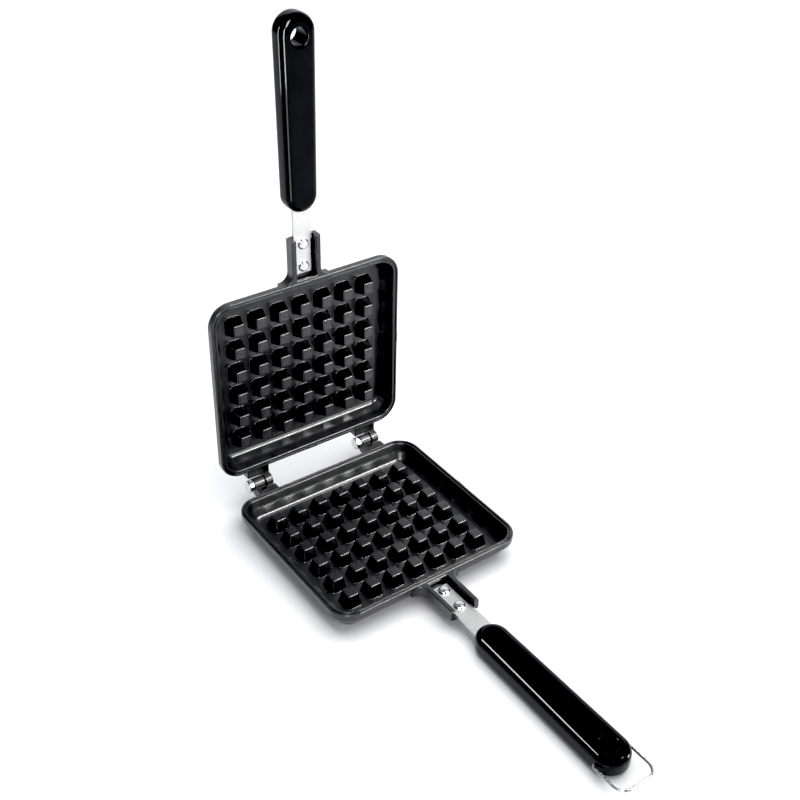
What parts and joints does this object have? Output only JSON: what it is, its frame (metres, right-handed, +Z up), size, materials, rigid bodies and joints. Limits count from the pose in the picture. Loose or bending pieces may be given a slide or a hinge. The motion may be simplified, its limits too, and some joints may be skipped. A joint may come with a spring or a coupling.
{
  "type": "stovetop waffle pan",
  "caption": "Two-sided hinged stovetop waffle pan with square pyramid bosses in both beds, riveted strip handles with moulded grips, and a wire bail that latches the grips.",
  "frame": {"origin": "middle of the lower bed's flat underside, which the pan rests on", "axes": "+Z up, +X along the hinge towards the right-hand hinge, -Y towards the lower handle"},
  "size_m": [0.1504, 0.3664, 0.3494],
  "materials": {
    "casting": "satin non-stick",
    "strip": "satin",
    "fastener": "polished",
    "grip": "gloss",
    "wire": "polished"
  },
  "bodies": {
    "lower_half": {"lower_bed": "casting", "lower_handle_strip": "strip", "lower_inner_rivet": "fastener", "lower_outer_rivet": "fastener", "lower_grip": "grip", "left_hinge_pin": "fastener", "right_hinge_pin": "fastener", "left_hinge_washer": "fastener", "right_hinge_washer": "fastener"},
    "upper_half": {"upper_bed": "casting", "upper_handle_strip": "strip", "upper_inner_rivet": "fastener", "upper_outer_rivet": "fastener", "upper_grip": "grip"},
    "bail": {"wire_bail": "wire"}
  },
  "joints": [
    {"name": "main_hinge", "type": "hinge", "parent": "lower_half", "child": "upper_half", "pos_m": [0, 0.082, 0.0175], "axis": [1, 0, 0], "range_deg": [0, 90.7]},
    {"name": "bail_pivot", "type": "hinge", "parent": "lower_half", "child": "bail", "pos_m": [0, -0.238, 0.008], "axis": [1, 0, 0], "range_deg": [-158, 158]}
  ]
}
